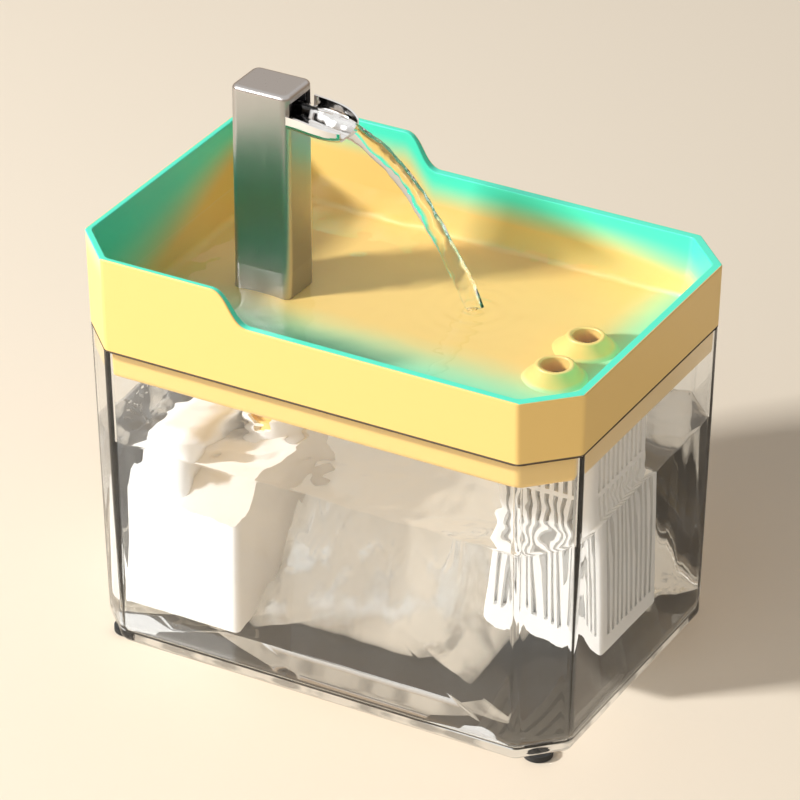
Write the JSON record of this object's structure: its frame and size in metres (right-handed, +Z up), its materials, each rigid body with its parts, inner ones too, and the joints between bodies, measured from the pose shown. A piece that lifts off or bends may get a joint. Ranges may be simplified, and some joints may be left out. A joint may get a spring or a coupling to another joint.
{
  "type": "pet water fountain",
  "caption": "Pet drinking fountain: clear octagonal tank, lift-off drinking tray with tower spout and drains, submersible pump in a housing, slatted filter basket.",
  "frame": {"origin": "on the table under the middle of the tank", "axes": "+X from the tower to the drains, +Y to the far long side, +Z up"},
  "size_m": [0.2016, 0.1424, 0.21],
  "materials": {
    "clear_plastic": "clear, polished",
    "black_rubber": "matt",
    "yellow_plastic": "satin moulded",
    "dark_seal": "matt",
    "steel": "satin, upright grain",
    "chrome": "polished",
    "black_plastic": "satin moulded",
    "white_plastic": "satin moulded",
    "soft_silicone": "matt",
    "grey_foam": "open cell foam",
    "copper_wire": "enamelled wire",
    "lamination": "stacked sheet",
    "magnet": "ground",
    "ceramic": "ground",
    "screw_steel": "bright",
    "carbon": "granules",
    "fleece": "needled fleece"
  },
  "bodies": {
    "tank": {"tank": "clear_plastic", "tank_feet": "black_rubber", "housing_tub": "white_plastic", "housing_lid": "white_plastic", "outlet_sleeve": "soft_silicone", "suction_cups": "soft_silicone", "pump_body": "black_plastic", "pump_back_plate": "black_plastic", "lead_gland": "black_rubber", "pump_cover": "black_plastic", "pump_screws": "screw_steel", "impeller_shaft": "ceramic", "shaft_bushes": "black_rubber", "stator_core": "lamination", "stator_coils": "copper_wire"},
    "tray": {"drinking_tray": "yellow_plastic", "tray_seal": "dark_seal"},
    "tower": {"tower_shell": "steel", "spout_lip": "chrome", "tower_liner": "black_plastic", "riser_pipe": "soft_silicone", "tower_seal": "black_rubber"},
    "basket": {"filter_basket": "white_plastic", "basket_lid": "white_plastic"},
    "cartridge": {"cartridge_case": "white_plastic", "cartridge_cover": "white_plastic", "carbon_bed": "carbon", "filter_fleece": "fleece"},
    "intake": {"intake_cover": "white_plastic", "intake_foam": "grey_foam"},
    "rotor": {"impeller": "white_plastic", "impeller_magnet": "magnet"},
    "dial": {"flow_dial": "white_plastic"}
  },
  "joints": [
    {"name": "tray_lift", "type": "slide", "parent": "tank", "child": "tray", "axis": [0, 0, 1], "range_m": [0, 0.11]},
    {"name": "tower_lift", "type": "slide", "parent": "tray", "child": "tower", "axis": [0, 0, 1], "range_m": [0, 0.04]},
    {"name": "basket_release", "type": "slide", "parent": "tray", "child": "basket", "axis": [0, 0, -1], "range_m": [0, 0.012]},
    {"name": "cartridge_lift", "type": "slide", "parent": "basket", "child": "cartridge", "axis": [0, 0, 1], "range_m": [0, 0.035]},
    {"name": "intake_pull", "type": "slide", "parent": "tank", "child": "intake", "axis": [0, 1, 0], "range_m": [0, 0.03]},
    {"name": "impeller_spin", "type": "hinge", "parent": "tank", "child": "rotor", "pos_m": [-0.063, 0, 0.0255], "axis": [0, 1, 0], "continuous": true},
    {"name": "flow_dial_turn", "type": "hinge", "parent": "tank", "child": "dial", "pos_m": [-0.063, 0.0087, 0.0255], "axis": [0, 1, 0], "range_deg": [0, 60]}
  ]
}
